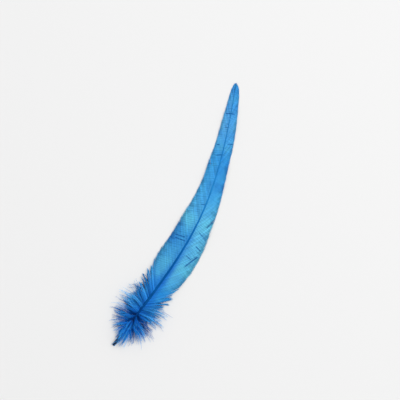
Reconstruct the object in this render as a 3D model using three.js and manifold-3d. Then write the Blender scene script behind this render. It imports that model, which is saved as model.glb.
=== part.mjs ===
// One loose cockerel tail feather, lying on its underside: quill at -Y, tip at +Y, +Z up.
// The shaft bows to the right, two vanes of barbs slope down from it, and down grows at its foot.

import * as THREE from "three";
import { mergeVertices } from "three/addons/utils/BufferGeometryUtils.js";
import Module from "manifold-3d";

const { clamp, degToRad, lerp } = THREE.MathUtils;
const LEFT = -1;
const RIGHT = 1;

// Driving dimensions, in millimetres and degrees.
// A station is a distance along the shaft, measured from the quill end.
const CHORD = 314;
const BOW_LOW = new THREE.Vector3(30, 135, 0);
const BOW_HIGH = new THREE.Vector3(41, 174, 0);
const BARB_ANGLE_LOW = 37;
const BARB_ANGLE_TIP = 18;
const BARB_CURVE = 0.3;
const VANE_THICK_LOW = 0.9;
const VANE_THICK_TIP = 0.45;
const EDGE_THINNING = 0.6;
const CAMBER_POWER = 1.5;
const EDGE_LIFT = 1.2;
const EDGE_WAVE = 62;
const ROOT_GAP = 0.05;
const TIP_INSET = 0.5;

// Values along the shaft, as pairs of station and value.
const SHAFT_RADIUS = [[0, 1.65], [26, 1.75], [70, 1.55], [170, 1], [250, 0.6], [319, 0.32]];
const SHAFT_HEIGHT = [[0, 1.65], [30, 2.6], [90, 5.2], [160, 4.8], [230, 3.4], [290, 1.7], [319, 0.5]];
const LEFT_WIDTH = [
  [98, 19.2], [112, 21.3], [137, 20], [165, 18.8], [188, 15.6], [212, 13.2], [231, 12.6],
  [252, 10.1], [272, 8.7], [294, 6.3], [310, 4.4], [316, 2.8], [319, 0.9],
];
const RIGHT_WIDTH = [
  [84, 19], [112, 21.6], [137, 20.5], [160, 17.2], [186, 14.6], [208, 12.1], [231, 10.4],
  [252, 9.9], [272, 8.8], [294, 6.9], [310, 5.2], [316, 3.2], [319, 0.9],
];

// Splits between barbs, by the station where each one meets the edge.
// From and to are shares of the barb's length, and width is the widest opening.
const SPLITS = [
  { side: RIGHT, station: 136, from: 0.46, to: 0.9, width: 0.8 },
  { side: RIGHT, station: 173, from: 0.66, to: 1.2, width: 0.9 },
  { side: LEFT, station: 234, from: 0.66, to: 1.2, width: 1.6 },
  { side: LEFT, station: 158, from: 0.78, to: 1.2, width: 1 },
];
const SPLIT_LEAST_WIDTH = 0.04;
const SPLIT_HEIGHT = 12;

// Rows of downy locks at the foot of the vanes, each from its first lock to its last one.
// Angles are measured from the shaft's direction, so a skirt of locks falls back over the quill.
const DOWN_ROWS = [
  { side: LEFT, count: 15, stations: [35, 75], angles: [82, 30], lengths: [29, 36], rises: [3, 9] },
  { side: RIGHT, count: 15, stations: [35, 72], angles: [88, 37], lengths: [28, 33], rises: [3, 9] },
  { side: RIGHT, count: 9, stations: [38, 29], angles: [97, 172], lengths: [31, 26], rises: [7, 11] },
  { side: LEFT, count: 8, stations: [39, 30], angles: [94, 168], lengths: [22, 22], rises: [7, 11] },
];
const LOCK_END_HEIGHTS = [0.8, 4.6];
const LOCK_ANGLE_SPREAD = 14;
const LOCK_RADIUS = 1.2;
const LOCK_TIP_RADIUS = 0.4;
const LOCK_CURL = 0.3;
const LOCK_LENGTH_SPREAD = 0.2;
const GOLDEN_STEP = 0.618;

// Mesh steps
const SHAFT_SIDES = 8;
const SHAFT_STEPS = 40;
const VANE_STEPS_ALONG = 46;
const VANE_STEPS_ACROSS = 6;
const SPLIT_STEPS = 6;
const LOCK_SIDES = 5;
const LOCK_STEPS = 4;
const MERGE_DISTANCE = 1e-5;

const shaftLine = new THREE.CubicBezierCurve3(
  new THREE.Vector3(0, 0, 0),
  BOW_LOW,
  BOW_HIGH,
  new THREE.Vector3(0, CHORD, 0),
);
const LENGTH = shaftLine.getLength();

// A smooth function of the station through the given pairs.
function smoothAlong(pairs) {
  const stations = pairs.map(([station]) => station);
  const values = pairs.map(([, value]) => value);
  const spline = new THREE.CubicInterpolant(stations, values, 1);
  return (station) => spline.evaluate(station)[0];
}

const shaftRadius = smoothAlong(SHAFT_RADIUS);
const shaftHeight = smoothAlong(SHAFT_HEIGHT);
const vaneWidth = { [LEFT]: smoothAlong(LEFT_WIDTH), [RIGHT]: smoothAlong(RIGHT_WIDTH) };
const vaneStart = { [LEFT]: LEFT_WIDTH[0][0], [RIGHT]: RIGHT_WIDTH[0][0] };
const vaneEnd = LENGTH - TIP_INSET;

// The shaft's centre at a station, its direction and the sideways direction to its right.
function shaftFrame(station) {
  const share = clamp(station / LENGTH, 0, 1);
  const centre = shaftLine.getPointAt(share);
  const along = shaftLine.getTangentAt(share);
  const right = new THREE.Vector3(along.y, -along.x, 0);
  centre.z = shaftHeight(station);
  return { centre, along, right };
}

function rootThickness(station) {
  return lerp(VANE_THICK_LOW, VANE_THICK_TIP, station / LENGTH);
}

// A point of a vane. The station is where the barb meets the edge, and reach runs
// from 0 at the shaft to 1 at the barb's end. Up is the height above the vane's middle.
function vanePoint(side, station, reach, up) {
  const width = vaneWidth[side](station);
  const progress = (station - vaneStart[side]) / (LENGTH - vaneStart[side]);
  const angle = degToRad(lerp(BARB_ANGLE_LOW, BARB_ANGLE_TIP, progress));
  const sweep = width / Math.tan(angle);
  const path = reach * (1 - BARB_CURVE) + reach * reach * BARB_CURVE;
  const frame = shaftFrame(station - sweep * (1 - path));
  const wave = Math.sin((Math.PI * station) / EDGE_WAVE) ** 2;
  const edgeHeight = (rootThickness(station) * EDGE_THINNING) / 2 + EDGE_LIFT * wave;
  const height = lerp(frame.centre.z, edgeHeight, reach ** CAMBER_POWER) + up;
  const point = frame.centre.addScaledVector(frame.right, side * lerp(ROOT_GAP, width, reach));
  return point.setZ(height);
}

// Moves every vertex of a closed geometry to a place worked out from its own coordinates.
function reshape(geometry, place) {
  const position = geometry.attributes.position;
  const vertex = new THREE.Vector3();
  for (let i = 0; i < position.count; i += 1) {
    const placed = place(vertex.fromBufferAttribute(position, i));
    position.setXYZ(i, placed.x, placed.y, placed.z);
  }
  return geometry;
}

// The quill and shaft, one tapering rod from the cut end to the tip.
function makeShaft() {
  const rod = new THREE.CylinderGeometry(1, 1, 1, SHAFT_SIDES, SHAFT_STEPS);
  return reshape(rod, (v) => {
    const station = (v.y + 0.5) * LENGTH;
    const frame = shaftFrame(station);
    const radius = shaftRadius(station);
    const point = frame.centre.addScaledVector(frame.right, v.x * radius);
    return point.setZ(point.z + v.z * radius);
  });
}

// One vane, a cambered sheet that is thinner towards its edge.
function makeVane(side) {
  const sheet = new THREE.BoxGeometry(1, 1, 1, VANE_STEPS_ACROSS, VANE_STEPS_ALONG, 1);
  return reshape(sheet, (v) => {
    const reach = 0.5 + side * v.x;
    const station = lerp(vaneStart[side], vaneEnd, v.y + 0.5);
    const thickness = rootThickness(station) * lerp(1, EDGE_THINNING, reach);
    return vanePoint(side, station, reach, v.z * thickness);
  });
}

// The spindle-shaped space of a split, which follows one barb.
function makeSplit({ side, station, from, to, width }) {
  const spindle = new THREE.BoxGeometry(1, 1, 1, SPLIT_STEPS, 1, 1);
  return reshape(spindle, (v) => {
    const share = 0.5 + side * v.x;
    const opening = Math.max(SPLIT_LEAST_WIDTH, Math.sin(Math.PI * share) * width);
    return vanePoint(side, station + v.y * opening, lerp(from, to, share), v.z * SPLIT_HEIGHT);
  });
}

// One tapering lock of down, which leaves the shaft, rises and curls away from the tip.
function makeLock(side, station, angle, length, rise, endHeight) {
  const { centre, along, right } = shaftFrame(station);
  const turned = (turn) => along.clone().multiplyScalar(Math.cos(turn))
    .addScaledVector(right, side * Math.sin(turn));
  const heading = turned(degToRad(angle));
  const curl = turned(degToRad(angle) + Math.PI / 2);
  const middle = centre.clone().addScaledVector(heading, length * 0.55);
  middle.z += rise;
  const end = centre.clone().addScaledVector(heading, length * 0.95);
  end.addScaledVector(curl, length * LOCK_CURL).setZ(endHeight);
  const path = new THREE.QuadraticBezierCurve3(centre, middle, end);
  const rod = new THREE.CylinderGeometry(1, 1, 1, LOCK_SIDES, LOCK_STEPS);
  return reshape(rod, (v) => {
    const share = v.y + 0.5;
    const direction = path.getTangent(share);
    const across = new THREE.Vector3(direction.y, -direction.x, 0).normalize();
    const over = new THREE.Vector3().crossVectors(across, direction);
    const radius = lerp(LOCK_RADIUS, LOCK_TIP_RADIUS, share);
    return path.getPoint(share).addScaledVector(across, v.x * radius).addScaledVector(over, v.z * radius);
  });
}

// A row of locks along the shaft, uneven in angle, length, rise and end height.
function makeLocks({ side, count, stations, angles, lengths, rises }) {
  const locks = [];
  for (let i = 0; i < count; i += 1) {
    const share = i / (count - 1);
    const uneven = (i * GOLDEN_STEP) % 1;
    const angle = lerp(...angles, share) + LOCK_ANGLE_SPREAD * (uneven - 0.5);
    const length = lerp(...lengths, share) * (1 + LOCK_LENGTH_SPREAD * (uneven - 0.5));
    const endHeight = lerp(...LOCK_END_HEIGHTS, 1 - uneven);
    locks.push(makeLock(side, lerp(...stations, share), angle, length, lerp(...rises, uneven), endHeight));
  }
  return locks;
}

const wasm = await Module();
wasm.setup();

function toSolid(geometry) {
  geometry.deleteAttribute("normal");
  geometry.deleteAttribute("uv");
  const merged = mergeVertices(geometry, MERGE_DISTANCE);
  const vertProperties = new Float32Array(merged.attributes.position.array);
  const triVerts = new Uint32Array(merged.index.array);
  return new wasm.Manifold(new wasm.Mesh({ numProp: 3, vertProperties, triVerts }));
}

function toGeometry(solid) {
  const mesh = solid.getMesh();
  const geometry = new THREE.BufferGeometry();
  geometry.setAttribute("position", new THREE.BufferAttribute(mesh.vertProperties, 3));
  geometry.setIndex(new THREE.BufferAttribute(mesh.triVerts, 1));
  geometry.computeVertexNormals();
  return geometry;
}

// The vanes with their splits, grown together with the shaft and the down.
let grown = toSolid(makeVane(LEFT)).add(toSolid(makeVane(RIGHT)));
for (const split of SPLITS) {
  grown = grown.subtract(toSolid(makeSplit(split)));
}
for (const piece of [makeShaft(), ...DOWN_ROWS.flatMap(makeLocks)]) {
  grown = grown.add(toSolid(piece));
}

const dyedFeather = new THREE.MeshStandardMaterial({ color: 0x3f8fd8, roughness: 0.55, metalness: 0 });
const feather = new THREE.Mesh(toGeometry(grown), dyedFeather);
feather.name = "feather";

// The origin lies on the surface, under the middle of the feather's box.
const box = new THREE.Box3().setFromObject(feather);
const middle = box.getCenter(new THREE.Vector3());
feather.position.set(-middle.x, -middle.y, -box.min.z);

const part = new THREE.Group();
part.add(feather);

export default part;
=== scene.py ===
# One loose, blue-dyed cockerel tail feather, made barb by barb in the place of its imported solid.
# It lies on a plain pale floor: quill at -Y, tip at +Y, +Z up.

import math

import bpy
import numpy as np
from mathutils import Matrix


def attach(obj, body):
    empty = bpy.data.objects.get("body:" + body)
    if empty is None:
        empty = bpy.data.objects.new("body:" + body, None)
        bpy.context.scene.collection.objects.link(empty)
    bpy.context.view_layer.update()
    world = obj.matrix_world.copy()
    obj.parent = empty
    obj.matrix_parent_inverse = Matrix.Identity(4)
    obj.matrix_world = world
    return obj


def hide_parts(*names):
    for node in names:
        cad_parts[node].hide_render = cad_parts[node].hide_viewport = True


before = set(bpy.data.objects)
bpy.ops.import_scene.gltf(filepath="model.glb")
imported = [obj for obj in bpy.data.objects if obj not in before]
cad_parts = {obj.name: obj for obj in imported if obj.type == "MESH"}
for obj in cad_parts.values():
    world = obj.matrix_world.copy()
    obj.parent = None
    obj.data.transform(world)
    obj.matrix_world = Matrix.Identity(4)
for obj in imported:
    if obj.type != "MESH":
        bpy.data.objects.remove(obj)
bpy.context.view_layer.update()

MM = 0.001
LEFT = -1
RIGHT = 1
SEED = 11

# Driving dimensions of the solid, in millimetres and degrees.
# A station is a distance along the shaft from the quill end.
CHORD = 314
BOW = np.array([[0, 0], [30, 135], [41, 174], [0, CHORD]], float)
BARB_ANGLE_LOW = 37
BARB_ANGLE_TIP = 18
BARB_CURVE = 0.3
CAMBER_POWER = 1.5
EDGE_HEIGHT = 0.35
EDGE_LIFT = 1.2
EDGE_WAVE = 62
ROOT_GAP = 0.05
TIP_INSET = 0.5
SHAFT_RADIUS = [[0, 1.65], [26, 1.75], [70, 1.55], [170, 1], [250, 0.6], [319, 0.32]]
SHAFT_HEIGHT = [[0, 1.65], [30, 2.6], [90, 5.2], [160, 4.8], [230, 3.4], [290, 1.7], [319, 0.5]]
LEFT_WIDTH = [
    [98, 19.2], [112, 21.3], [137, 20], [165, 18.8], [188, 15.6], [212, 13.2], [231, 12.6],
    [252, 10.1], [272, 8.7], [294, 6.3], [310, 4.4], [316, 2.8], [319, 0.9],
]
RIGHT_WIDTH = [
    [84, 19], [112, 21.6], [137, 20.5], [160, 17.2], [186, 14.6], [208, 12.1], [231, 10.4],
    [252, 9.9], [272, 8.8], [294, 6.9], [310, 5.2], [316, 3.2], [319, 0.9],
]

# Splits between barbs: side, station at the edge, shares of the barb where it opens and closes, width.
SPLITS = [
    (RIGHT, 136, 0.46, 0.9, 0.5),
    (RIGHT, 173, 0.66, 1.2, 0.6),
    (LEFT, 234, 0.66, 1.2, 1.3),
    (LEFT, 158, 0.78, 1.2, 0.9),
]
SPLIT_PUSH = 5.0

# Barbs of the vanes
BARB_STEP_LOW = 0.52
BARB_STEP_TIP = 0.85
BARB_RINGS = 26
BARB_RIDGE = 0.07
BARB_KEEL = 0.16
BARB_TILT = 0.05
BARB_OVERLAP = 1.16
BARB_WIDEST = 1.35
TIP_BARB_WIDEST = 6
TIP_STATIONS = (285, 310)
BARB_POINT = 0.08
BARB_POINT_POWER = 0.7
BARB_POINT_WIDTH = 0.06
BARB_POINT_THIN = 0.4
BARB_END_THIN = 0.45
BARB_SPACING = 0.25
RAGGED = 0.017
RAGGED_WAVE = 9.0
RAGGED_SHARES = (0.5, 0.4)
EDGE_SWAY = 0.35
EDGE_SWAY_WAVE = 25.0
RIPPLE = 0.22
RIPPLE_WAVE = 14.0
RIPPLE_SPREAD = 0.4
ROOT_LIFT = 0.4
ROOT_LIFT_REACH = 0.35
TONE_WAVES = ((0.22, 16.0), (0.3, 5.5))
TONE_SPREAD = 0.5
SEAM_SHARE = 0.09
SEAM_TONE = -0.9
FLOOR_GAP = 0.02

# Loose barbs at the foot of each vane, which part into pointed groups
LOOSE_BELOW = {LEFT: 46.0, RIGHT: 34.0}
LOOSE_ABOVE = 20.0
LOOSE_ANGLE = 64
LOOSE_GROUP = 4
LOOSE_PULL = 0.86
LOOSE_CURL = 8.0
LOOSE_CURL_SHARES = (0.1, 1.0)
LOOSE_CURL_OUT = 0.3
LOOSE_RISES = (-0.4, 3.2)
LOOSE_LENGTHS = (0.8, 1.12)
LOOSE_BARB_LENGTHS = (0.92, 1.04)
LOOSE_TONE = 0.9
LOOSE_DOWNY = 0.2
LOOSE_FLUFF = 0.6
LOOSE_LIGHTS = (0.46, 0.92)

# Rows of downy locks on each side: count, stations, angles from the shaft, lengths and rises, first to last.
# A row whose rises are below zero lies under the vane.
DOWN_ROWS = {
    LEFT: [
        (15, (40, 72), (80, 46), (17, 20), (-4, -2)),
        (13, (32, 54), (94, 54), (23, 31), (1, 6)),
        (11, (34, 26), (86, 168), (19, 18), (3, 8)),
        (6, (43, 30), (118, 174), (15, 16), (5, 8)),
    ],
    RIGHT: [
        (15, (40, 68), (80, 46), (17, 20), (-4, -2)),
        (13, (32, 52), (94, 50), (26, 31), (1, 6)),
        (14, (34, 25), (84, 172), (28, 21), (3, 8)),
        (6, (43, 30), (118, 174), (17, 18), (5, 8)),
    ],
}
LOCK_END_HEIGHTS = (0.6, 5.0)
LOCK_END_SPREAD = (-1.0, 1.4)
LOCK_END_LOWEST = 0.5
LOCK_ANGLE_SPREAD = 18
LOCK_CURL = 0.24
LOCK_CURL_SPREAD = 0.12
LOCK_LENGTH_SPREAD = 0.3
# Painted light and shade by height: higher locks lighter, lower ones darker, those under the vane darkest
LAYER_SHADING = 0.8
GOLDEN_STEP = 0.618

# Downy barbs of a lock: their roots, their lengths as shares of the lock's, and how far each one strays
BARBS_PER_LOCK = 8
BARB_FAN = 4
DOWN_ROOT_SPREAD = 1.2
DOWN_ROOT_HEIGHTS = (-0.4, 0.8)
UNDER_ROOT = -1.2
DOWN_LENGTHS = (0.62, 1.06)
DOWN_MIDDLE = 0.55
DOWN_END = 0.95
MIDDLE_STRAY = 0.04
END_STRAY = 0.05
RISE_SPREAD = 1.5
DOWN_SWAY = 0.5
DOWN_SWAY_WAVE = 13.0
DOWN_TONE_SPREAD = 0.3
DOWN_RINGS = 12
DOWN_RADIUS = (0.2, 0.06)
TRIANGLE = np.radians([90, 210, 330])

# Lightness of the down at root and tip, from 0 to 1 along its dye. The locks under the vane are painted
# darker as shade, and each upper lock's tips lighter the higher it lies, as painted light and shade
DOWN_LIGHTS = (0.08, 0.58)
UNDER_LIGHTS = (0.1, 0.42)
LAYER_LIGHT = 0.5
TIP_LIGHT = 0.6
TIP_PART = (0.5, 0.95)
LIGHTER_ROOTS = (37, 56)

# Barbules on both sides of a downy barb, each a spike on a base of three points
BARBULES = 36
BARBULE_SPOTS = (0.04, 0.99)
BARBULE_JITTER = 0.012
BARBULE_LENGTH = (2.3, 0.9)
BARBULE_LENGTH_POWER = 1.2
BARBULE_LENGTH_SHARES = (0.6, 1.15)
BARBULE_SHORTEST = 0.25
BARBULE_LOWEST = 0.05
BARBULE_ANGLE = (32, 18)
BARBULE_ANGLE_SPREAD = 8
BARBULE_ROLL = 0.9
BARBULE_TWIST = 0.3
BARBULE_RADIUS = 0.09
FLUFF_FADE = 0.2
SPIKE_POINTS = 4
SPIKE_FACES = ([0, 1, 3], [1, 2, 3], [2, 0, 3], [2, 1, 0])

# Places of a barb's points in its own column of the bake map
BAKE_MARGIN = 0.01
BAKE_RIBBON = np.array([0.9, 0.5, 0.1, 0.5])
BAKE_STEM = np.array([0.06, 0.2, 0.34])
BAKE_SPIKE = np.array([0.4, 0.45, 0.4, 0.94])
BAKE_SPIKE_RISE = np.array([-0.006, 0.0, 0.006, 0.0])
BAKE_SPIKE_START = 0.02
BAKE_DOWN_HEIGHT = 0.94

# The shaft's mesh
SHAFT_SIDES = 20
SHAFT_RINGS = 220
CLOSE_RINGS = 60
CLOSE_RINGS_END = 60
RACHIS_STATIONS = (30, 75)
RACHIS_TOP = 0.72
GROOVE_DEPTH = 0.5
GROOVE_WIDTH = 0.42
QUILL_BORE = 0.72
QUILL_BORE_DEPTH = 14.0
BORE_RINGS = 12
BORE_ROUNDING = 6
BORE_CLOSED = 0.02
QUILL_SLANT = 2.2
QUILL_SLANT_REACH = 2.5
QUILL_LENGTH = 34.0
QUILL_END_DEPTH = 1.0

# The photograph's frame: its side, and the pixels of the feather's two ends.
PHOTO_SIDE = 400
QUILL_PIXEL = (113, 345.5)
TIP_PIXEL = (236, 83)
CAMERA_HEIGHT = 1600.0
SENSOR = 36.0

# The studio, in metres and watts
FLOOR_SIDE = 6.0
FLOOR_COLOUR = (0.8, 0.8, 0.8, 1.0)
FLOOR_ROUGHNESS = 0.9
SKY_COLOUR = (1.0, 1.0, 1.0, 1.0)
SKY_STRENGTH = 0.75
KEY_LIGHT_PLACE = (0.9, 1.6, 3.0)
KEY_LIGHT_SIZE = 2.4
KEY_LIGHT_WATTS = 60.0

WAVE_LENGTHS = (0.6, 1.7)
rng = np.random.default_rng(SEED)


def lerp(a, b, share):
    return a + (b - a) * share


def smoothstep(low, high, value):
    share = np.clip((value - low) / (high - low), 0, 1)
    return share * share * (3 - 2 * share)


def unit(vectors):
    return vectors / np.maximum(np.linalg.norm(vectors, axis=-1, keepdims=True), 1e-9)


def smooth_along(pairs):
    """A smooth function of the station through the given pairs."""
    x, y = np.array(pairs, float).T
    slopes = np.concatenate([
        [(y[1] - y[0]) / (x[1] - x[0])],
        (y[2:] - y[:-2]) / (x[2:] - x[:-2]),
        [(y[-1] - y[-2]) / (x[-1] - x[-2])],
    ])

    def value(station):
        station = np.clip(station, x[0], x[-1])
        i = np.clip(np.searchsorted(x, station) - 1, 0, len(x) - 2)
        run = x[i + 1] - x[i]
        t = (station - x[i]) / run
        start = y[i] * (1 + 2 * t) + slopes[i] * run * t
        end = y[i + 1] * (3 - 2 * t) + slopes[i + 1] * run * (t - 1)
        return start * (1 - t) ** 2 + end * t ** 2

    return value


def wobble(x, wavelength, waves=4):
    """A smooth, uneven wave of about unit height along x."""
    total = 0
    for _ in range(waves):
        length = wavelength * rng.uniform(*WAVE_LENGTHS)
        total = total + np.sin(2 * np.pi * x / length + rng.uniform(0, 2 * np.pi))
    return total / math.sqrt(waves)


# The shaft's line, as tables of station, centre and direction
def shaft_tables(samples=4001):
    t = np.linspace(0, 1, samples)[:, None]
    weights = np.hstack([(1 - t) ** 3, 3 * t * (1 - t) ** 2, 3 * t ** 2 * (1 - t), t ** 3])
    centres = weights @ BOW
    steps = np.linalg.norm(np.diff(centres, axis=0), axis=1)
    stations = np.concatenate([[0], np.cumsum(steps)])
    return stations, centres, unit(np.gradient(centres, axis=0))


STATIONS, CENTRES, DIRECTIONS = shaft_tables()
LENGTH = STATIONS[-1]
VANE_END = LENGTH - TIP_INSET
VANE_START = {LEFT: LEFT_WIDTH[0][0], RIGHT: RIGHT_WIDTH[0][0]}
shaft_radius = smooth_along(SHAFT_RADIUS)
shaft_height = smooth_along(SHAFT_HEIGHT)
vane_width = {LEFT: smooth_along(LEFT_WIDTH), RIGHT: smooth_along(RIGHT_WIDTH)}


def shaft_frame(station):
    """The shaft's centre at each station, its direction, and the level direction to its right."""
    def from_table(table):
        return [np.interp(station, STATIONS, table[:, axis]) for axis in (0, 1)]

    x, y = from_table(CENTRES)
    along_x, along_y = from_table(DIRECTIONS)
    level = np.zeros_like(x)
    centre = np.stack([x, y, shaft_height(station)], axis=-1)
    along = np.stack([along_x, along_y, level], axis=-1)
    right = np.stack([along_y, -along_x, level], axis=-1)
    return centre, along, right


def quill_end():
    """Where the shaft's line starts in the frame, in millimetres: the middle of the quill's end."""
    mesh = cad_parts["feather"].data
    points = np.empty(len(mesh.vertices) * 3)
    mesh.vertices.foreach_get("co", points)
    points = points.reshape(-1, 3) / MM
    end = points[points[:, 1] < points[:, 1].min() + QUILL_END_DEPTH]
    middle = (end.min(0) + end.max(0)) / 2
    return np.array([middle[0], middle[1], 0.0])


ORIGIN = quill_end()


# Meshes made of many tubes: points come as tube, ring and side.
def tube_faces(tubes, rings, sides):
    """Quads round every tube, and a cap on both ends of each."""
    index = np.arange(tubes * rings * sides).reshape(tubes, rings, sides)
    here, there = index[:, :-1], index[:, 1:]
    quads = np.stack([here, np.roll(here, -1, 2), np.roll(there, -1, 2), there], axis=-1)
    faces = quads.reshape(-1, 4).tolist()
    faces += index[:, 0, ::-1].tolist()
    faces += index[:, -1].tolist()
    return faces


def make_piece(name, points, faces, materials, attributes, bake_uv=None, slots=None, smooth=False):
    """A mesh object from points in the shaft's own coordinates, which rides on the only body."""
    mesh = bpy.data.meshes.new(name)
    placed = (points.reshape(-1, 3) + ORIGIN) * MM
    mesh.from_pydata(placed.tolist(), [], faces)
    for key, values in attributes.items():
        values = np.asarray(values, np.float32)
        kind, field = ("FLOAT", "value") if values.ndim == 1 else ("FLOAT_VECTOR", "vector")
        mesh.attributes.new(key, kind, "POINT").data.foreach_set(field, values.ravel())
    if bake_uv is not None:
        corners = np.empty(len(mesh.loops), np.int32)
        mesh.loops.foreach_get("vertex_index", corners)
        layer = mesh.uv_layers.new(name="OFBake")
        layer.data.foreach_set("uv", bake_uv[corners].astype(np.float32).ravel())
    mesh.polygons.foreach_set("use_smooth", [smooth] * len(mesh.polygons))
    for material in materials:
        mesh.materials.append(material)
    if slots is not None:
        mesh.polygons.foreach_set("material_index", slots)
    mesh.validate()
    piece = bpy.data.objects.new(name, mesh)
    bpy.context.scene.collection.objects.link(piece)
    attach(piece, "root")
    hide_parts("feather")


# Materials
class Wiring:
    """Short calls that add and join the nodes of one material."""

    MIX_A, MIX_B, MIX_RESULT = 6, 7, 2

    def __init__(self, name):
        self.material = bpy.data.materials.new(name)
        self.material.use_nodes = True
        self.tree = self.material.node_tree
        self.shader = self.tree.nodes["Principled BSDF"]

    def put(self, socket, value):
        if isinstance(value, bpy.types.NodeSocket):
            self.tree.links.new(value, socket)
        else:
            socket.default_value = value

    def add(self, kind, inputs, **settings):
        node = self.tree.nodes.new(kind)
        for key, value in settings.items():
            setattr(node, key, value)
        for key, value in inputs.items():
            self.put(node.inputs[key], value)
        return node

    def attribute(self, name, output="Fac"):
        return self.add("ShaderNodeAttribute", {}, attribute_name=name).outputs[output]

    def split(self, vector):
        return self.add("ShaderNodeSeparateXYZ", {0: vector}).outputs

    def join(self, x, y, z=0.0):
        return self.add("ShaderNodeCombineXYZ", {0: x, 1: y, 2: z}).outputs[0]

    def math(self, operation, *values):
        node = self.add("ShaderNodeMath", dict(enumerate(values)), operation=operation)
        return node.outputs[0]

    def vector(self, operation, inputs, output="Vector"):
        return self.add("ShaderNodeVectorMath", inputs, operation=operation).outputs[output]

    def fade(self, value, low, high, start=0.0, end=1.0):
        """Start where the value is at low, end where it is at high, smooth between them."""
        places = {"Value": value, "From Min": low, "From Max": high, "To Min": start, "To Max": end}
        node = self.add("ShaderNodeMapRange", places, interpolation_type="SMOOTHSTEP")
        return node.outputs["Result"]

    def noise(self, vector, scale, detail=2.0):
        places = {"Vector": vector, "Scale": scale, "Detail": detail}
        return self.add("ShaderNodeTexNoise", places).outputs["Fac"]

    def ramp(self, value, stops):
        """A colour ramp whose stops are pairs of place and colour."""
        node = self.add("ShaderNodeValToRGB", {"Fac": value})
        elements = node.color_ramp.elements
        elements[0].position, elements[0].color = stops[0]
        elements[1].position, elements[1].color = stops[-1]
        for place, colour in stops[1:-1]:
            elements.new(place).color = colour
        return node.outputs["Color"]

    def mix(self, share, a, b, blend="MIX"):
        places = {0: share, self.MIX_A: a, self.MIX_B: b}
        node = self.add("ShaderNodeMix", places, data_type="RGBA", blend_type=blend)
        return node.outputs[self.MIX_RESULT]

    def shade(self, colour, amount):
        """The colour times an amount."""
        return self.mix(1.0, colour, self.join(amount, amount, amount), "MULTIPLY")

    def finish(self, **values):
        """Sets the shader's own sockets, with _ for a space in a socket's name."""
        for key, value in values.items():
            self.put(self.shader.inputs[key.replace("_", " ")], value)
        return self.material


def dye(red, green, blue):
    """A linear colour from a screen colour of 0 to 255."""
    def linear(level):
        level /= 255
        return level / 12.92 if level <= 0.04045 else ((level + 0.055) / 1.055) ** 2.4

    return (linear(red), linear(green), linear(blue), 1.0)


# Dye along the vanes, as pairs of station and colour
LEFT_DYE = [
    (45, dye(14, 98, 184)), (75, dye(32, 128, 209)), (100, dye(72, 162, 216)), (145, dye(68, 164, 221)),
    (162, dye(90, 184, 231)), (192, dye(76, 174, 232)), (235, dye(63, 164, 231)), (270, dye(96, 183, 236)),
    (300, dye(90, 178, 238)), (319, dye(54, 148, 220)),
]
RIGHT_DYE = [
    (45, dye(18, 110, 196)), (75, dye(38, 142, 217)), (100, dye(88, 178, 223)), (145, dye(94, 186, 229)),
    (162, dye(103, 195, 232)), (192, dye(72, 172, 229)), (235, dye(55, 156, 227)), (270, dye(88, 175, 230)),
    (300, dye(72, 166, 229)), (319, dye(54, 148, 214)),
]
CYAN_DYE = dye(96, 196, 226)
ROYAL_DYE = dye(26, 110, 202)
# The dark blue of the ladder lines and of the painted shade in creases and splits
DARK_LINE_BLUE = dye(4, 74, 146)
SHAFT_DYE = [
    (0, dye(6, 7, 36)), (24, dye(5, 10, 48)), (42, dye(2, 58, 122)), (66, dye(4, 78, 142)),
    (105, dye(0, 82, 152)), (145, dye(4, 98, 170)), (190, dye(32, 126, 194)), (250, dye(28, 120, 190)),
    (319, dye(28, 118, 190)),
]
DOWN_DYE = [
    (0.0, dye(3, 56, 130)), (0.2, dye(8, 84, 172)), (0.4, dye(22, 116, 208)), (0.7, dye(54, 156, 224)),
    (1.0, dye(92, 188, 238)),
]

# Painted shade in creases and thin gaps between barbules, drawn as dark bars, two of them along the splits of
# the right vane: from one place to another, as station and distance from the shaft, and half widths
LEFT_CREASE_SHADE = [
    ((139.2, 15.3), (141.5, 5.6), 1.1), ((136.1, 14.0), (138.0, 3.2), 1.1), ((284.8, 5.0), (285.8, 0.3), 1.0),
    ((249.7, 7.8), (250.2, 5.7), 1.0), ((238.2, 6.1), (239.8, 0.2), 1.0), ((226.6, 13.2), (227.8, 9.0), 1.1),
    ((273.8, 2.3), (274.0, 0.1), 0.8), ((270.1, 2.7), (270.5, 0.1), 0.8), ((182.0, 4.8), (182.9, 0.6), 0.8),
]
RIGHT_CREASE_SHADE = [
    ((152.7, 7.1), (149.1, 16.2), 1.0), ((138.3, 11.1), (136.8, 16.9), 1.1),
    ((124.9, 6.7), (124.2, 12.5), 0.9), ((115.1, 11.7), (129.5, 17.4), 1.4),
    ((161.6, 11.3), (172.8, 15.6), 1.2), ((285.9, 0.8), (285.7, 3.8), 0.8),
    ((252.6, 3.2), (253.5, 9.1), 0.7),
]
CREASE_SHADE_BREAK_SCALE = 0.6
CREASE_SHADE_BREAKS = (0.2, 0.55, 0.45, 0.92)

# Lines across the barbs: their slant, step, bends and half widths as shares of a step, and gaps in them
LADDER_SWEEP = 0.28
LADDER_STEP = 2.3
LADDER_BEND = 2.0
LADDER_BEND_SCALE = 0.1
LADDER_LINE = (0.15, 0.02)
LADDER_STRENGTH = {LEFT: 0.58, RIGHT: 0.64}
LADDER_GAP_SCALES = (0.5, 0.16, 0)
LADDER_GAPS = (0.32, 0.54)

# Fades over the vanes: the values where one starts and ends, and the amounts there; and scales of noise
PATCH_SCALE = 0.075
CYAN_PATCHES = (0.5, 0.78, 0.0, 0.45)
ROYAL_PATCHES = (0.5, 0.22, 0.0, 0.4)
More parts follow.
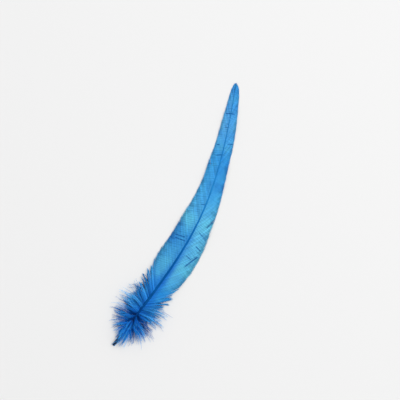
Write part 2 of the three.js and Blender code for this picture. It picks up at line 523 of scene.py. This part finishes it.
# Painted shade that darkens the vane towards its edges
EDGE_SHADE_SCALE = 0.2
EDGE_SHADE = (1.1, 1.55, 1.0, 0.64)
BESIDE_SHAFT = (7.5, 1.5)
BESIDE_STATIONS = (95, 165)
BESIDE_STRENGTHS = {LEFT: (0.5, 0.2), RIGHT: (0.9, 0.2)}
# Painted shade in a strip along the shaft, narrowing towards the tip
NEAR_SHAFT_SHADE = (0.8, 3.4, 0.74, 1.0)
NEAR_SHAFT_SHADE_TAPER = 150
BARB_TONES = (-1.0, 1.0, 0.8, 1.18)
VANE_ROUGH_SCALE = 0.4
VANE_ROUGHNESS = (0.3, 0.7, 0.46, 0.62)
VANE_SPECULAR = 0.06

# The looks of the shaft and of the down
STREAK_STRETCH = 0.05
STREAK_SCALE = 2.2
STREAKS = (0.25, 0.75, 0.75, 1.25)
GRAIN_STRETCH = 0.12
GRAIN_SCALE = 9.0
GRAIN_STRENGTH = 0.25
GRAIN_HEIGHT = 0.0003
SHAFT_DETAIL = 3.0
SHAFT_ROUGHNESS = 0.36
QUILL_SHINE = (0.35, 0.15)
RACHIS_SHINE = (0.03, 0.0)
FRINGE_LIGHT = 0.1
TONE_LIGHT = 0.22
DOWN_TONES = (-1.0, 1.0, 0.7, 1.25)
DOWN_ROUGHNESS = 0.6
DOWN_SPECULAR = 0.08

# Spots of deeper and paler blue, as station, distance from the shaft, radius, strength and colour
BLUE_SPOTS = {
    LEFT: [
        (136, 19, 17, 0.75, ROYAL_DYE), (112, 21, 12, 0.3, ROYAL_DYE), (160, 11, 14, 0.6, CYAN_DYE),
        (104, 10, 16, 0.35, CYAN_DYE), (152, 18.5, 11, 0.5, ROYAL_DYE),
    ],
    RIGHT: [
        (206, 12, 13, 0.5, ROYAL_DYE), (226, 10, 12, 0.4, ROYAL_DYE), (110, 14, 15, 0.6, CYAN_DYE),
        (162, 10, 14, 0.4, CYAN_DYE),
    ],
}


def along_shaft(stops):
    return [(station / LENGTH, colour) for station, colour in stops]


def bar_share(wiring, place, start, end, half_width):
    """How much of a bar from start to end lies at a place of the vane."""
    run = np.subtract(end, start)
    offset = wiring.vector("SUBTRACT", {0: place, 1: (*start, 0.0)})
    dot = wiring.vector("DOT_PRODUCT", {0: offset, 1: (*run, 0.0)}, "Value")
    share = wiring.fade(dot, 0.0, float(run @ run))
    share.node.interpolation_type = "LINEAR"
    nearest = wiring.vector("SCALE", {0: (*run, 0.0), "Scale": share})
    distance = wiring.vector("DISTANCE", {0: offset, 1: nearest}, "Value")
    return wiring.fade(distance, half_width, 0.0)


def vane_material(name, side, stops, crease_shade):
    wiring = Wiring(name)
    station, lateral, reach = wiring.split(wiring.attribute("place", "Vector"))
    tone = wiring.attribute("tone")
    place = wiring.join(station, lateral)

    # Dye, which took unevenly along the vane, in patches and from barb to barb; spots of deeper and paler
    # blue; and painted shade darkening the vane towards its edges
    colour = wiring.ramp(wiring.math("DIVIDE", station, LENGTH), along_shaft(stops))
    patches = wiring.noise(place, PATCH_SCALE)
    colour = wiring.mix(wiring.fade(patches, *CYAN_PATCHES), colour, CYAN_DYE)
    colour = wiring.mix(wiring.fade(patches, *ROYAL_PATCHES), colour, ROYAL_DYE)
    for spot_station, spot_lateral, radius, strength, spot_dye in BLUE_SPOTS[side]:
        distance = wiring.vector("DISTANCE", {0: place, 1: (spot_station, spot_lateral, 0)}, "Value")
        colour = wiring.mix(wiring.fade(distance, radius, 0, 0, strength), colour, spot_dye)
    # Painted shade: the vane darker towards its edges, broken by noise
    edge_shade_mask = wiring.math("ADD", reach, wiring.noise(place, EDGE_SHADE_SCALE))
    colour = wiring.shade(colour, wiring.fade(edge_shade_mask, *EDGE_SHADE))

    # Faint ladder of lines across the barbs, broken along their length
    bent = wiring.math("MULTIPLY_ADD", lateral, LADDER_SWEEP, station)
    bent = wiring.math("MULTIPLY_ADD", wiring.noise(place, LADDER_BEND_SCALE), LADDER_BEND, bent)
    lines = wiring.add(
        "ShaderNodeTexVoronoi",
        {"W": bent, "Scale": 1 / LADDER_STEP},
        voronoi_dimensions="1D",
        feature="DISTANCE_TO_EDGE",
    ).outputs["Distance"]
    lines = wiring.fade(lines, *LADDER_LINE, 0.0, LADDER_STRENGTH[side])
    gaps = wiring.noise(wiring.vector("MULTIPLY", {0: place, 1: LADDER_GAP_SCALES}), 1.0)
    ladder = wiring.math("MULTIPLY", lines, wiring.fade(gaps, *LADDER_GAPS))
    colour = wiring.mix(ladder, colour, DARK_LINE_BLUE)
    # Painted shade in creases and thin gaps between barbules, two marks along the right vane's splits, broken
    # by noise
    dark = 0.0
    for bar in crease_shade:
        dark = wiring.math("MAXIMUM", bar_share(wiring, place, *bar), dark)
    dark = wiring.math("MULTIPLY", dark, wiring.fade(wiring.noise(place, CREASE_SHADE_BREAK_SCALE), *CREASE_SHADE_BREAKS))
    colour = wiring.mix(dark, colour, DARK_LINE_BLUE)

    # Deeper blue beside the lower shaft, painted shade in a narrow strip along the shaft, and each barb in
    # its own tone
    beside = wiring.fade(lateral, *BESIDE_SHAFT)
    strength = wiring.fade(station, *BESIDE_STATIONS, *BESIDE_STRENGTHS[side])
    colour = wiring.mix(wiring.math("MULTIPLY", beside, strength), colour, ROYAL_DYE)
    # Painted shade: the barbs darker in a strip along the shaft, narrowing towards the tip
    taper = wiring.math("MULTIPLY_ADD", station, 1 / NEAR_SHAFT_SHADE_TAPER, 1.0)
    colour = wiring.shade(colour, wiring.fade(wiring.math("MULTIPLY", lateral, taper), *NEAR_SHAFT_SHADE))
    colour = wiring.shade(colour, wiring.fade(tone, *BARB_TONES))
    rough = wiring.fade(wiring.noise(place, VANE_ROUGH_SCALE), *VANE_ROUGHNESS)
    return wiring.finish(Base_Color=colour, Roughness=rough, Specular_IOR_Level=VANE_SPECULAR)


def shaft_material(name, shine, coat):
    wiring = Wiring(name)
    station, around, _ = wiring.split(wiring.attribute("place", "Vector"))
    colour = wiring.ramp(wiring.math("DIVIDE", station, LENGTH), along_shaft(SHAFT_DYE))

    def lengthwise(stretch, scale):
        """Noise that is drawn out along the shaft."""
        drawn_out = wiring.join(wiring.math("MULTIPLY", station, stretch), around)
        return wiring.noise(drawn_out, scale, SHAFT_DETAIL)

    streaks = lengthwise(STREAK_STRETCH, STREAK_SCALE)
    colour = wiring.shade(colour, wiring.fade(streaks, *STREAKS))
    grain = lengthwise(GRAIN_STRETCH, GRAIN_SCALE)
    relief = {"Height": grain, "Strength": GRAIN_STRENGTH, "Distance": GRAIN_HEIGHT}
    bump = wiring.add("ShaderNodeBump", relief).outputs[0]
    return wiring.finish(
        Base_Color=colour, Roughness=SHAFT_ROUGHNESS, Normal=bump, Specular_IOR_Level=shine, Coat_Weight=coat
    )


def down_material():
    wiring = Wiring("dyed_down")
    light, fringe, tone = wiring.split(wiring.attribute("place", "Vector"))
    # For locks, the tone holds painted light and shade by height, with a random spread from barb to barb
    light = wiring.math("MULTIPLY_ADD", fringe, FRINGE_LIGHT, light)
    light = wiring.math("MULTIPLY_ADD", tone, TONE_LIGHT, light)
    colour = wiring.ramp(light, DOWN_DYE)
    colour = wiring.shade(colour, wiring.fade(tone, *DOWN_TONES))
    return wiring.finish(Base_Color=colour, Roughness=DOWN_ROUGHNESS, Specular_IOR_Level=DOWN_SPECULAR)


# The shaft: a hollow quill with a slanted end, then a rachis that is grooved below
def shaft_rings(station, turn, across, up):
    """Rings round the shaft, of which those at the quill's end are slanted."""
    centre, along, right = shaft_frame(station)
    rings = centre[:, None] + across[..., None] * right[:, None]
    rings[..., 2] += up
    slant = np.exp(-station / QUILL_SLANT_REACH)[:, None] * QUILL_SLANT * (np.sin(turn) * 0.5 + 0.5)
    return rings + slant[..., None] * along[:, None]


def make_shaft():
    station = np.concatenate([
        np.linspace(0, CLOSE_RINGS_END, CLOSE_RINGS, endpoint=False),
        np.linspace(CLOSE_RINGS_END, LENGTH, SHAFT_RINGS - CLOSE_RINGS),
    ])
    turn = np.linspace(0, 2 * np.pi, SHAFT_SIDES, endpoint=False)
    radius = shaft_radius(station)[:, None]
    rachis = smoothstep(*RACHIS_STATIONS, station)[:, None]
    top = np.where(np.sin(turn) > 0, lerp(1.0, RACHIS_TOP, rachis), 1.0)
    groove = GROOVE_DEPTH * np.exp(-((turn - 1.5 * np.pi) / GROOVE_WIDTH) ** 2)
    up = np.sin(turn) * radius * top + groove * rachis * radius
    wall = shaft_rings(station, turn, np.cos(turn) * radius, up)

    # The quill's bore, from the cut end inwards
    depth = np.linspace(0, QUILL_BORE_DEPTH, BORE_RINGS)
    closing = np.sqrt(np.clip(1 - (depth / QUILL_BORE_DEPTH) ** BORE_ROUNDING, BORE_CLOSED, 1))
    inner = (shaft_radius(depth) * QUILL_BORE * closing)[:, None]
    bore = shaft_rings(depth, turn, np.cos(turn) * inner, np.sin(turn) * inner)

    rings = np.concatenate([bore[::-1], wall])[None]
    stations = np.concatenate([depth[::-1], station])
    place = np.stack(np.broadcast_arrays(stations[:, None], 2.0 * np.sin(turn / 2), 0.0), axis=-1)
    faces = tube_faces(1, len(stations), SHAFT_SIDES)
    slots = [int(stations[face[0] // SHAFT_SIDES] > QUILL_LENGTH) for face in faces]
    materials = [shaft_material("dyed_quill", *QUILL_SHINE), shaft_material("dyed_rachis", *RACHIS_SHINE)]
    place = {"place": place.reshape(-1, 3)}
    make_piece("feather_shaft", rings, faces, materials, place, slots=slots, smooth=True)


# A vane: a row of barbs, each a closed ribbon with a ridge above and a keel below
def barb_edges(side):
    start = VANE_START[side]
    edges = [start - LOOSE_BELOW[side]]
    while edges[-1] < VANE_END:
        progress = max(0, edges[-1] - start) / (LENGTH - start)
        edges.append(edges[-1] + lerp(BARB_STEP_LOW, BARB_STEP_TIP, progress))
    edges[-1] = VANE_END
    return np.array(edges)


def split_push(side, edges, reach):
    """How far each barb is pushed along the shaft by the splits beside it."""
    push = np.zeros((len(edges), len(reach)))
    for split_side, station, opens, closes, width in SPLITS:
        if split_side == side:
            share = np.clip((reach - opens) / (closes - opens), 0, 1)
            away = edges - station
            pushed = np.sign(away) * np.exp(-np.abs(away) / SPLIT_PUSH)
            push += np.outer(pushed, np.sin(np.pi * share) * width / 2)
    return push


def barb_lines(side):
    """Centre lines of a vane's barbs, the station, distance from the shaft and reach of each point,
    the shaft's direction there, and the looseness and tone of each barb."""
    edges = barb_edges(side)
    share = np.linspace(0, 1, BARB_RINGS)
    share = share * (1 + BARB_SPACING - BARB_SPACING * share)
    wavy, uneven = RAGGED_SHARES
    length = 1 + RAGGED * (wobble(edges, RAGGED_WAVE) * wavy + rng.uniform(-1, 1, len(edges)) * uneven)
    reach = share * length[:, None]

    # Barbs at the foot of the vane part into pointed groups that curl away from the tip
    loose = 1 - smoothstep(-LOOSE_ABOVE, LOOSE_ABOVE, edges - VANE_START[side])
    group = np.arange(len(edges)) // LOOSE_GROUP
    groups = group.max() + 1
    middle = np.array([edges[group == g].mean() for g in group])
    curl = LOOSE_CURL * rng.uniform(*LOOSE_CURL_SHARES, groups)[group] * loose
    rise = rng.uniform(*LOOSE_RISES, groups)[group] * loose
    pull = (loose * LOOSE_PULL * (middle - edges))[:, None] * reach ** 2
    stretch = rng.uniform(*LOOSE_LENGTHS, groups)[group] * rng.uniform(*LOOSE_BARB_LENGTHS, len(edges))
    reach = reach * lerp(1.0, stretch, loose)[:, None]

    sway = EDGE_SWAY * wobble(edges, EDGE_SWAY_WAVE)[:, None] * reach
    edge = edges[:, None] + split_push(side, edges, share) + pull + sway
    width = vane_width[side](edge)
    progress = np.maximum(0, edge - VANE_START[side]) / (LENGTH - VANE_START[side])
    below = np.maximum(0, VANE_START[side] - edge) / LOOSE_BELOW[side]
    angle = lerp(BARB_ANGLE_LOW, BARB_ANGLE_TIP, progress) + (LOOSE_ANGLE - BARB_ANGLE_LOW) * below
    sweep = width / np.tan(np.radians(angle))
    path = reach * (1 - BARB_CURVE) + reach ** 2 * BARB_CURVE
    station = edge - sweep * (1 - path) - curl[:, None] * reach ** 3
    lateral = lerp(ROOT_GAP, width, reach) + LOOSE_CURL_OUT * curl[:, None] * reach ** 3
    centre, along, right = shaft_frame(station)
    points = centre + side * lateral[..., None] * right
    edge_height = EDGE_HEIGHT + EDGE_LIFT * np.sin(np.pi * edge / EDGE_WAVE) ** 2
    root_lift = ROOT_LIFT * shaft_radius(station) * (1 - smoothstep(0, ROOT_LIFT_REACH, reach))
    height = lerp(centre[..., 2] + root_lift, edge_height, reach ** CAMBER_POWER)
    ripple = wobble(edges, RIPPLE_WAVE)[:, None] * reach
    ripple = ripple + RIPPLE_SPREAD * rng.uniform(-1, 1, len(edges))[:, None] * reach ** 2
    points[..., 2] = height + RIPPLE * ripple + rise[:, None] * reach ** 2
    place = np.stack([station, lateral, np.broadcast_to(share, station.shape)], axis=-1)
    count = np.arange(len(edges))
    tone = sum(amount * wobble(count, wavelength) for amount, wavelength in TONE_WAVES)
    tone = tone + rng.uniform(-TONE_SPREAD, TONE_SPREAD, len(edges))
    tone[rng.random(len(edges)) < SEAM_SHARE] += SEAM_TONE
    tone += loose * rng.uniform(-LOOSE_TONE, LOOSE_TONE, groups)[group]
    return points, place, along, loose, tone


def make_vane(name, side, lines, material):
    points, place, along, _, tone = lines
    barbs = len(points)
    direction = unit(np.gradient(points, axis=1))
    tipward = unit(along - (along * direction).sum(-1, keepdims=True) * direction)
    gap = np.abs((np.diff(points, axis=0) * tipward[:-1]).sum(-1))
    near_tip = smoothstep(*TIP_STATIONS, place[:-1, -1:, 0])
    gap = np.minimum(gap, np.median(gap, axis=0) * lerp(BARB_WIDEST, TIP_BARB_WIDEST, near_tip))
    ahead = np.concatenate([gap, gap[-1:]])
    behind = np.concatenate([gap[:1], gap])
    share = place[..., 2]
    taper = np.clip((1 - share) / BARB_POINT, BARB_POINT_WIDTH, 1) ** BARB_POINT_POWER
    half_ahead = ahead * BARB_OVERLAP / 2 * taper
    half_behind = behind * BARB_OVERLAP / 2 * taper
    thin = lerp(1.0, BARB_END_THIN, share) * lerp(BARB_POINT_THIN, 1.0, taper)

    # Four corners round each barb: tipward edge, ridge, quillward edge, keel
    level = np.zeros_like(half_ahead)
    out = [half_ahead, level, -half_behind, level]
    up = [BARB_TILT * thin, BARB_RIDGE * thin, -BARB_TILT * thin, -BARB_KEEL * thin]
    corners = np.stack([points + o[..., None] * tipward for o in out], axis=2)
    corners[..., 2] += np.stack(up, axis=2)
    corners[..., 2] = np.maximum(corners[..., 2], FLOOR_GAP)
    across = side * (tipward * shaft_frame(place[..., 0])[2]).sum(-1)
    forward = (tipward * along).sum(-1)
    spots = np.stack([place + np.stack([o * forward, o * across, level], axis=-1) for o in out], axis=2)

    # Right-hand barbs run the other way round, so their corners are turned to face out
    order = [0, 1, 2, 3] if side == LEFT else [0, 3, 2, 1]
    columns = (np.arange(barbs)[:, None, None] + BAKE_RIBBON) / barbs
    heights = BAKE_MARGIN + (1 - 2 * BAKE_MARGIN) * share[..., None]
    bake_uv = np.stack(np.broadcast_arrays(columns, heights), axis=-1)
    tones = np.broadcast_to(tone[:, None, None], corners.shape[:3])
    make_piece(
        name, corners[:, :, order], tube_faces(barbs, BARB_RINGS, 4), [material],
        {"place": spots[:, :, order].reshape(-1, 3), "tone": tones.ravel()},
        bake_uv[:, :, order].reshape(-1, 2),
    )


# Down: locks of fine barbs at the foot of the vanes, with barbules along both sides of each
def root_lights(station):
    """Lightness of a downy barb's root and tip, from the station of its root."""
    share = smoothstep(*LIGHTER_ROOTS, station)
    return (lerp(DOWN_LIGHTS[0], LOOSE_LIGHTS[0], share), lerp(DOWN_LIGHTS[1], LOOSE_LIGHTS[1], share))


def down_lines(side):
    """Centre lines of the downy barbs of one side, with a tone and the lightness of both ends for each; tone
    and lightness hold painted light and shade by each lock's height.
    """
    lines, tones, lights = [], [], []
    share = np.linspace(0, 1, DOWN_RINGS)[:, None]
    for count, stations, angles, lengths, rises in DOWN_ROWS[side]:
        for lock in range(count):
            along_row = lock / (count - 1)
            layer = (lock * GOLDEN_STEP) % 1
            angle = lerp(*angles, along_row) + LOCK_ANGLE_SPREAD * (layer - 0.5)
            length = lerp(*lengths, along_row) * (1 + LOCK_LENGTH_SPREAD * (rng.random() - 0.5))
            rise = lerp(*rises, layer)
            upper = rise > 0
            end_height = lerp(*LOCK_END_HEIGHTS, layer) if upper else LOCK_END_HEIGHTS[0]
            # Painted light and shade: the higher a lock lies, the lighter its tone; locks under the vane are
            # painted darkest
            layer_shading = lerp(-LAYER_SHADING, LAYER_SHADING, layer) if upper else -LAYER_SHADING
            bend = LOCK_CURL + rng.normal(0, LOCK_CURL_SPREAD)
            for _ in range(BARBS_PER_LOCK):
                root = lerp(*stations, along_row) + rng.uniform(-DOWN_ROOT_SPREAD, DOWN_ROOT_SPREAD)
                centre, along, right = shaft_frame(root)
                centre[2] += rng.uniform(*DOWN_ROOT_HEIGHTS) if upper else UNDER_ROOT
                turn = math.radians(angle + rng.normal(0, BARB_FAN))
                long = length * rng.uniform(*DOWN_LENGTHS)
                heading = along * math.cos(turn) + side * right * math.sin(turn)
                curl = side * right * math.cos(turn) - along * math.sin(turn)
                stray = rng.normal(0, MIDDLE_STRAY)
                middle = centre + heading * long * DOWN_MIDDLE + curl * long * stray
                middle[2] += rise + rng.uniform(-RISE_SPREAD, RISE_SPREAD)
                stray = bend + rng.normal(0, END_STRAY)
                end = centre + heading * long * DOWN_END + curl * long * stray
                end[2] = max(LOCK_END_LOWEST, end_height + rng.uniform(*LOCK_END_SPREAD))
                line = centre * (1 - share) ** 2 + 2 * middle * share * (1 - share) + end * share ** 2
                line = line + curl * (DOWN_SWAY * wobble(share * long, DOWN_SWAY_WAVE) * share)
                lines.append(line)
                tones.append(layer_shading + rng.uniform(-DOWN_TONE_SPREAD, DOWN_TONE_SPREAD))
                # Locks under the vane take darker lights, and higher locks lighter tips: painted shade and
                # light by height
                root_light, tip_light = root_lights(root) if upper else UNDER_LIGHTS
                lights.append((root_light, tip_light + LAYER_LIGHT * (layer - 0.5)))
    return np.array(lines), np.array(tones), np.array(lights)


def line_frames(lines):
    """Directions along each line, level across it and over it."""
    direction = unit(np.gradient(lines, axis=1))
    across = unit(np.cross(direction, [0.0, 0.0, 1.0]))
    return direction, across, np.cross(across, direction)


def tip_lit(light, share):
    """Lightness along a downy barb, whose tip is never darker than TIP_LIGHT."""
    return lerp(light, np.maximum(light, TIP_LIGHT), smoothstep(*TIP_PART, share))


def downy_barbs(side, vane_lines):
    """Lines, tones, lights and fluff of one side's downy barbs. The loose barbs of its vane are among them,
    and are downy most of all towards their tips."""
    lines, tones, lights = down_lines(side)
    points, _, _, loose, vane_tones = vane_lines
    downy = loose > LOOSE_DOWNY
    rungs = np.linspace(0, BARB_RINGS - 1, DOWN_RINGS).round().astype(int)
    fluff = np.concatenate([np.ones(len(lines)), LOOSE_FLUFF * loose[downy]])
    lines = np.concatenate([lines, points[downy][:, rungs]])
    tones = np.concatenate([tones, vane_tones[downy]])
    lights = np.concatenate([lights, np.tile(LOOSE_LIGHTS, (downy.sum(), 1))])
    return lines, tones, lights, fluff


def down_stems(lines, tones, lights):
    """Points, places and bake map of the downy barbs themselves, tubes of three sides."""
    barbs, rings = lines.shape[:2]
    root_light, tip_light = lights.T[:, :, None, None]
    _, across, over = line_frames(lines)
    share = np.linspace(0, 1, rings)[:, None]
    radius = lerp(*DOWN_RADIUS, share)[None, :, :, None]
    points = lines[:, :, None] + radius * (
        np.cos(TRIANGLE)[:, None] * across[:, :, None] + np.sin(TRIANGLE)[:, None] * over[:, :, None]
    )
    light = tip_lit(lerp(root_light, tip_light, share), share)
    corners = np.zeros(len(TRIANGLE))
    place = np.stack(np.broadcast_arrays(light, corners, tones[:, None, None]), axis=-1)
    columns = (np.arange(barbs)[:, None, None] + BAKE_STEM) / barbs
    bake_uv = np.stack(np.broadcast_arrays(columns, BAKE_MARGIN + BAKE_DOWN_HEIGHT * share), axis=-1)
    return points.reshape(-1, 3), place.reshape(-1, 3), bake_uv.reshape(-1, 2)


def down_spikes(lines, tones, lights, fluff):
    """Points, places and bake map of the barbules, spikes that leave their barb forwards on both sides."""
    barbs, rings = lines.shape[:2]
    root_light, tip_light = lights.T[:, :, None, None]
    spot = np.linspace(*BARBULE_SPOTS, BARBULES)
    spot = np.clip(spot + rng.uniform(-BARBULE_JITTER, BARBULE_JITTER, (barbs, 2, BARBULES)), 0, 1)
    at = spot * (rings - 1)
    low = np.minimum(at.astype(int), rings - 2)
    part = (at - low)[..., None]
    pick = np.arange(barbs)[:, None, None]

    def along_line(values):
        return lerp(values[pick, low], values[pick, low + 1], part)

    root = along_line(lines)
    ahead, aside, above = (along_line(directions) for directions in line_frames(lines))
    sides = np.array([-1, 1])[None, :, None]
    roll = rng.uniform(-BARBULE_ROLL, BARBULE_ROLL, spot.shape)
    lean = np.radians(lerp(*BARBULE_ANGLE, spot) + rng.normal(0, BARBULE_ANGLE_SPREAD, spot.shape))
    sideways = (sides * np.cos(roll))[..., None] * aside + np.sin(roll)[..., None] * above
    heading = np.cos(lean)[..., None] * ahead + np.sin(lean)[..., None] * sideways
    fluffy = fluff[:, None, None]
    grown = smoothstep(1 - fluffy - FLUFF_FADE, 1 - fluffy + FLUFF_FADE, spot)
    long = lerp(*BARBULE_LENGTH, spot ** BARBULE_LENGTH_POWER)
    long = long * rng.uniform(*BARBULE_LENGTH_SHARES, spot.shape)
    long = np.maximum(long * fluffy * grown, BARBULE_SHORTEST)
    tip = root + heading * long[..., None]
    tip[..., 2] = np.maximum(tip[..., 2], BARBULE_LOWEST)
    normal = unit(np.cross(heading, sideways + BARBULE_TWIST * above))
    binormal = np.cross(heading, normal)
    base = root[..., None, :] + BARBULE_RADIUS * (
        np.cos(TRIANGLE)[:, None] * normal[..., None, :] + np.sin(TRIANGLE)[:, None] * binormal[..., None, :]
    )
    points = np.concatenate([base, tip[..., None, :]], axis=-2)
    fringe = np.array([0.0, 0.0, 0.0, 1.0])
    light = tip_lit(lerp(root_light, tip_light, spot), spot)[..., None]
    place = np.stack(np.broadcast_arrays(light, fringe, tones[:, None, None, None]), axis=-1)
    columns = (pick[..., None] + BAKE_SPIKE) / barbs
    heights = BAKE_MARGIN + BAKE_DOWN_HEIGHT * spot[..., None] + BAKE_SPIKE_RISE + BAKE_SPIKE_START
    bake_uv = np.stack(np.broadcast_arrays(columns, heights), axis=-1)
    return points.reshape(-1, 3), place.reshape(-1, 3), bake_uv.reshape(-1, 2)


def make_down(name, side, vane_lines, material):
    lines, tones, lights, fluff = downy_barbs(side, vane_lines)
    stems = down_stems(lines, tones, lights)
    spikes = down_spikes(lines, tones, lights, fluff)
    points, place, bake_uv = (np.concatenate(both) for both in zip(stems, spikes))
    points[:, 2] = np.maximum(points[:, 2], FLOOR_GAP)
    first = np.arange(len(stems[0]), len(points), SPIKE_POINTS)[:, None]
    spike_faces = np.concatenate([first + corners for corners in SPIKE_FACES])
    faces = tube_faces(*lines.shape[:2], len(TRIANGLE)) + spike_faces.tolist()
    make_piece(name, points, faces, [material], {"place": place}, bake_uv)


# Floor, light and camera
def make_floor():
    bpy.ops.mesh.primitive_plane_add(size=FLOOR_SIDE)
    floor = bpy.context.object
    floor.name = "floor"
    wiring = Wiring("pale_floor")
    floor.data.materials.append(wiring.finish(Base_Color=FLOOR_COLOUR, Roughness=FLOOR_ROUGHNESS))


def photo_frame():
    """The camera's turn about Z, millimetres to a pixel, and the place on the floor at the photo's middle."""
    run = np.subtract(TIP_PIXEL, QUILL_PIXEL)
    turn = math.atan2(run[0], -run[1])
    scale = CHORD / math.hypot(*run)
    offset = np.subtract(PHOTO_SIDE / 2, QUILL_PIXEL) * scale
    right, up = offset[0], -offset[1]
    x = right * math.cos(turn) - up * math.sin(turn)
    y = right * math.sin(turn) + up * math.cos(turn)
    return turn, scale, ORIGIN + [x, y, 0]


def make_camera():
    turn, scale, middle = photo_frame()
    data = bpy.data.cameras.new("camera")
    data.sensor_width = SENSOR
    data.lens = SENSOR * CAMERA_HEIGHT / (PHOTO_SIDE * scale)
    camera = bpy.data.objects.new("camera", data)
    camera.location = (middle + [0, 0, CAMERA_HEIGHT]) * MM
    camera.rotation_euler = (0, 0, turn)
    bpy.context.scene.collection.objects.link(camera)
    bpy.context.scene.camera = camera


def make_light(name, place, size, watts):
    data = bpy.data.lights.new(name, "AREA")
    data.size = size
    data.energy = watts
    light = bpy.data.objects.new(name, data)
    light.location = place
    light.rotation_mode = "QUATERNION"
    light.rotation_quaternion = (-light.location).to_track_quat("-Z", "Y")
    bpy.context.scene.collection.objects.link(light)


def make_world():
    world = bpy.data.worlds.new("studio")
    world.use_nodes = True
    background = world.node_tree.nodes["Background"]
    background.inputs["Color"].default_value = SKY_COLOUR
    background.inputs["Strength"].default_value = SKY_STRENGTH
    bpy.context.scene.world = world
    bpy.context.scene.view_settings.view_transform = "Standard"


make_shaft()
left_lines = barb_lines(LEFT)
right_lines = barb_lines(RIGHT)
dyed_left = vane_material("dyed_vane_left", LEFT, LEFT_DYE, LEFT_CREASE_SHADE)
dyed_right = vane_material("dyed_vane_right", RIGHT, RIGHT_DYE, RIGHT_CREASE_SHADE)
make_vane("feather_vane_left", LEFT, left_lines, dyed_left)
make_vane("feather_vane_right", RIGHT, right_lines, dyed_right)
dyed_down = down_material()
make_down("feather_down_left", LEFT, left_lines, dyed_down)
make_down("feather_down_right", RIGHT, right_lines, dyed_down)
make_floor()
make_world()
make_light("key_light", KEY_LIGHT_PLACE, KEY_LIGHT_SIZE, KEY_LIGHT_WATTS)
make_camera()
